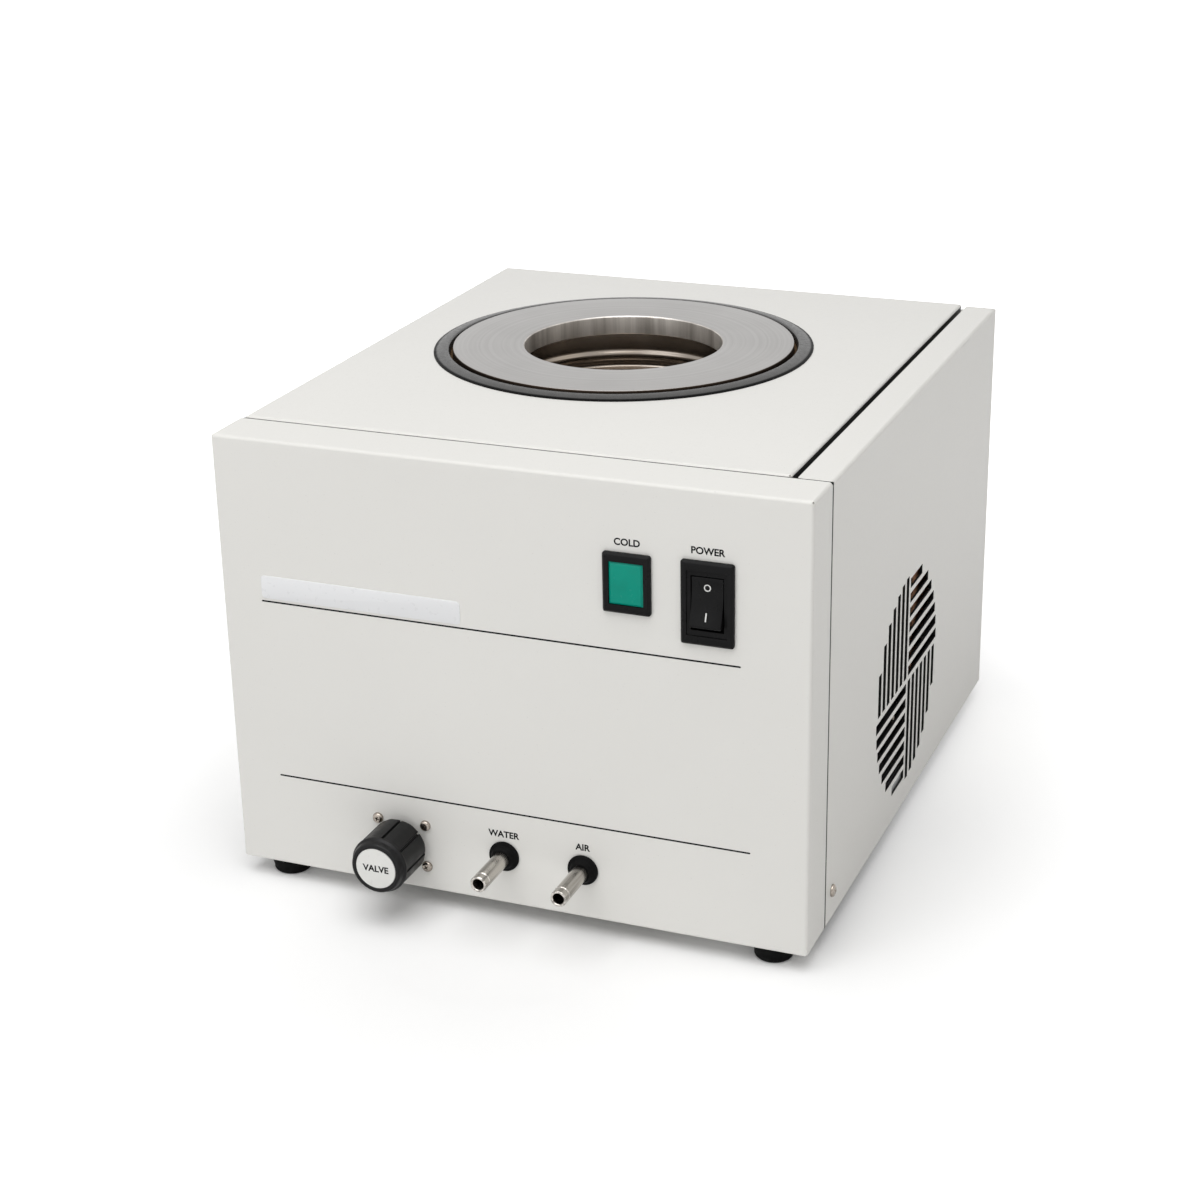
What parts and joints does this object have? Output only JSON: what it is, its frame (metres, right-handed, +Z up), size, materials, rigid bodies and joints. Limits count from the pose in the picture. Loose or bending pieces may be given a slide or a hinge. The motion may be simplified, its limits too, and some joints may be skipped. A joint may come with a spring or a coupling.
{
  "type": "bench-top freeze dryer",
  "caption": "Folded sheet cabinet round a refrigerated steel chamber with a flanged mouth on top, and a drain valve, hose spigots, lamp and rocker switch on the front.",
  "frame": {"origin": "middle of the footprint on the surface that the feet stand on", "axes": "+Z up along the chamber, -Y out of the front panel with its knob and spigots, +X towards the side with the fan grille"},
  "size_m": [0.3622, 0.4496, 0.286],
  "materials": {
    "front_paint": "fine satin powder coat",
    "cover_paint": "satin white powder coat",
    "zinc_plate": "zinc-plated sheet",
    "turned_steel": "fine turned stainless steel",
    "spun_steel": "spun stainless steel",
    "grey_rubber": "matt dark grey rubber",
    "black_rubber": "matt black rubber",
    "foam": "rigid brown insulation foam",
    "copper": "drawn copper tube",
    "brass": "turned brass",
    "nickel": "bright nickel plate",
    "screw_steel": "bright zinc-plated screw",
    "knob_plastic": "moulded satin black",
    "cap_plastic": "white insert",
    "switch_plastic": "moulded black",
    "lens_green": "tinted green lens",
    "grey_plastic": "moulded grey nylon",
    "label_white": "plain film label",
    "compressor_black": "black enamel",
    "fan_plastic": "moulded black",
    "fin_alu": "mill-finish fins"
  },
  "bodies": {
    "cabinet": {"base_tray": "zinc_plate", "front_panel": "front_paint", "top_cover": "cover_paint", "right_side_panel": "front_paint", "rear_panel": "front_paint", "cover_rail": "zinc_plate", "cover_screws": "screw_steel", "foot_front_left": "black_rubber", "foot_front_right": "black_rubber", "foot_rear_left": "black_rubber", "foot_rear_right": "black_rubber", "foot_screws": "screw_steel", "chamber_flange": "turned_steel", "flange_seal": "black_rubber", "chamber_collar": "spun_steel", "chamber_vessel": "spun_steel", "chamber_floor": "spun_steel", "trim_ring": "grey_rubber", "insulation_jacket": "foam", "evaporator_coil": "copper", "chamber_stand": "zinc_plate", "drain_pipe": "copper", "vacuum_pipe": "nickel", "drain_spigot": "nickel", "vacuum_spigot": "nickel", "drain_grommet": "black_rubber", "vacuum_grommet": "black_rubber", "spigot_nuts": "brass", "valve_bonnet": "grey_plastic", "valve_body": "brass", "valve_diaphragm": "black_rubber", "valve_outlet_pipe": "copper", "valve_screws": "screw_steel", "lamp_bezel": "switch_plastic", "lamp_lens": "lens_green", "lamp_body": "grey_plastic", "switch_housing": "switch_plastic", "switch_terminals": "screw_steel", "label_plate": "label_white", "compressor": "compressor_black", "compressor_mounts": "black_rubber", "compressor_bolts": "screw_steel", "terminal_cover": "compressor_black", "condenser_fins": "fin_alu", "condenser_coil": "copper", "fan_shroud": "zinc_plate", "fan_frame": "fan_plastic", "fan_screws": "screw_steel", "filter_drier": "copper", "discharge_line": "copper", "liquid_line": "copper", "capillary_tube": "copper", "suction_line": "copper", "mains_inlet": "switch_plastic"},
    "knob": {"knob_bush": "brass", "drain_knob": "knob_plastic", "knob_cap": "cap_plastic"},
    "spindle": {"valve_spindle": "nickel"},
    "rocker": {"switch_rocker": "switch_plastic"},
    "fan": {"fan_rotor": "fan_plastic"}
  },
  "joints": [
    {"name": "drain_knob_turn", "type": "hinge", "parent": "cabinet", "child": "knob", "pos_m": [-0.0705, -0.20735, 0.04], "axis": [0, -1, 0], "range_deg": [0, 720]},
    {"name": "spindle_lift", "type": "slide", "parent": "cabinet", "child": "spindle", "axis": [0, -1, 0], "range_m": [0, 0.003]},
    {"name": "mains_rocker", "type": "hinge", "parent": "cabinet", "child": "rocker", "pos_m": [0.1215, -0.18335, 0.2177], "axis": [1, 0, 0], "range_deg": [0, 20]},
    {"name": "fan_spin", "type": "hinge", "parent": "cabinet", "child": "fan", "pos_m": [0.145, 0.01665, 0.097], "axis": [1, 0, 0], "continuous": true}
  ],
  "couplings": [
    {"joint": "spindle_lift", "follows": "drain_knob_turn", "m_per_rad": 0.00023873}
  ]
}
